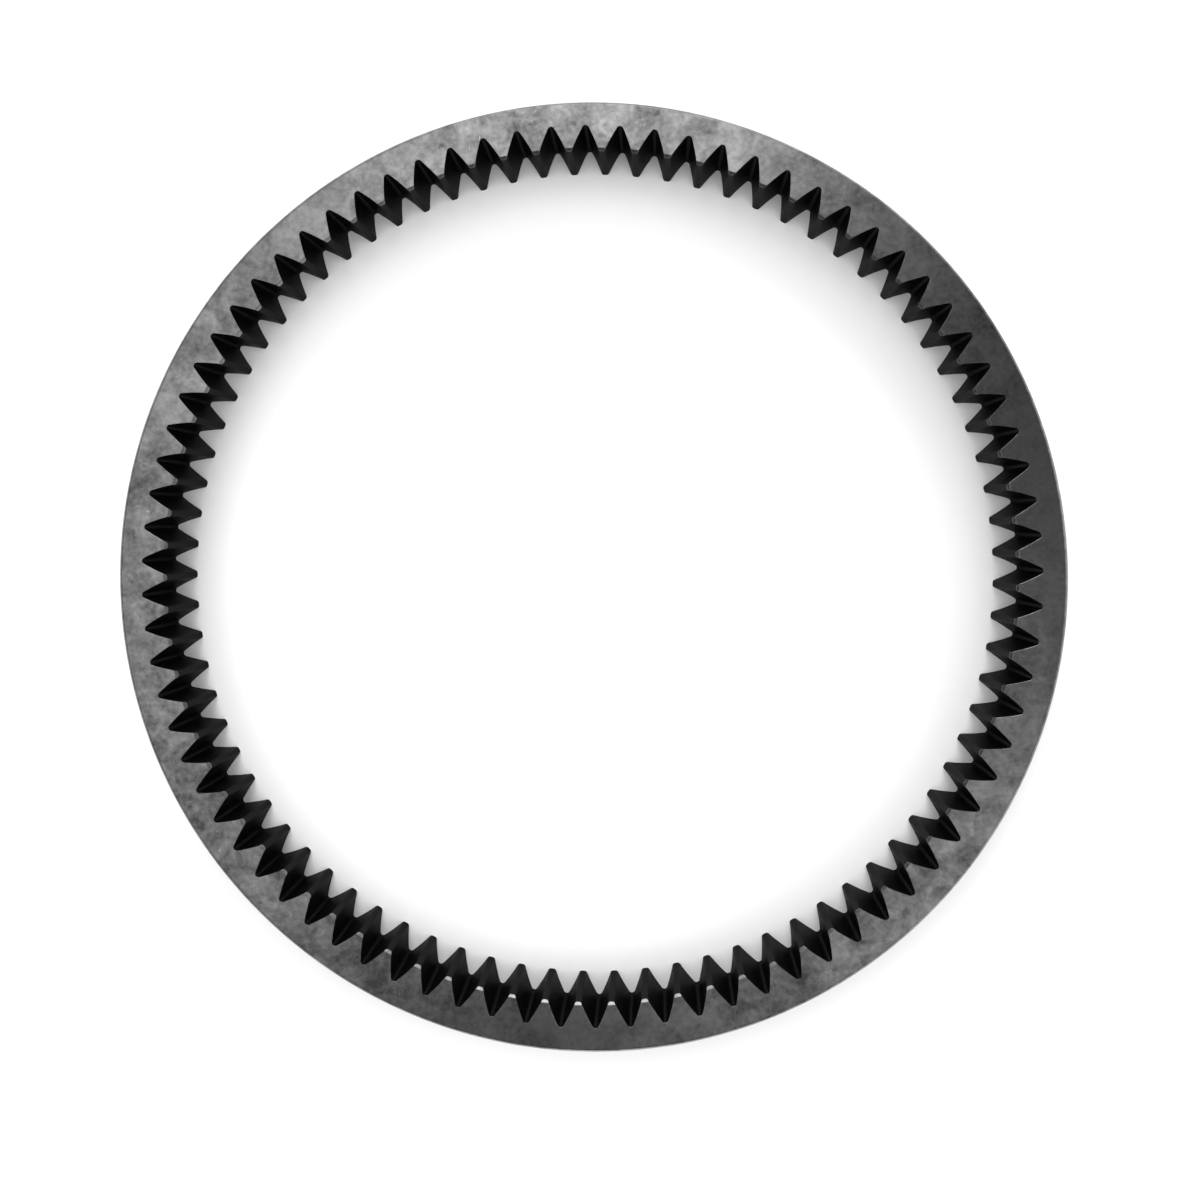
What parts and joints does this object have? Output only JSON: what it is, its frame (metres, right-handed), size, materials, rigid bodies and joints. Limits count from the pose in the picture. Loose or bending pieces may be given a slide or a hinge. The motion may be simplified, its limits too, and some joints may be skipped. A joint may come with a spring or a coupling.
{
  "type": "internal ring gear",
  "caption": "Plain steel ring gear with straight involute teeth round its bore, flat ground faces and lightly chamfered edges.",
  "frame": {"origin": "on the ring's axis, at its back face, which it lies on", "axes": "+Z along the axis, towards the front face; +X through the middle of a tooth space"},
  "size_m": [0.1764, 0.1764, 0.019],
  "materials": {
    "gear_steel": "ground steel faces, satin and faintly stained, with bright chamfered tooth tips and dark oiled tooth flanks"
  },
  "bodies": {
    "root": {"ring_gear": "gear_steel"}
  },
  "joints": []
}
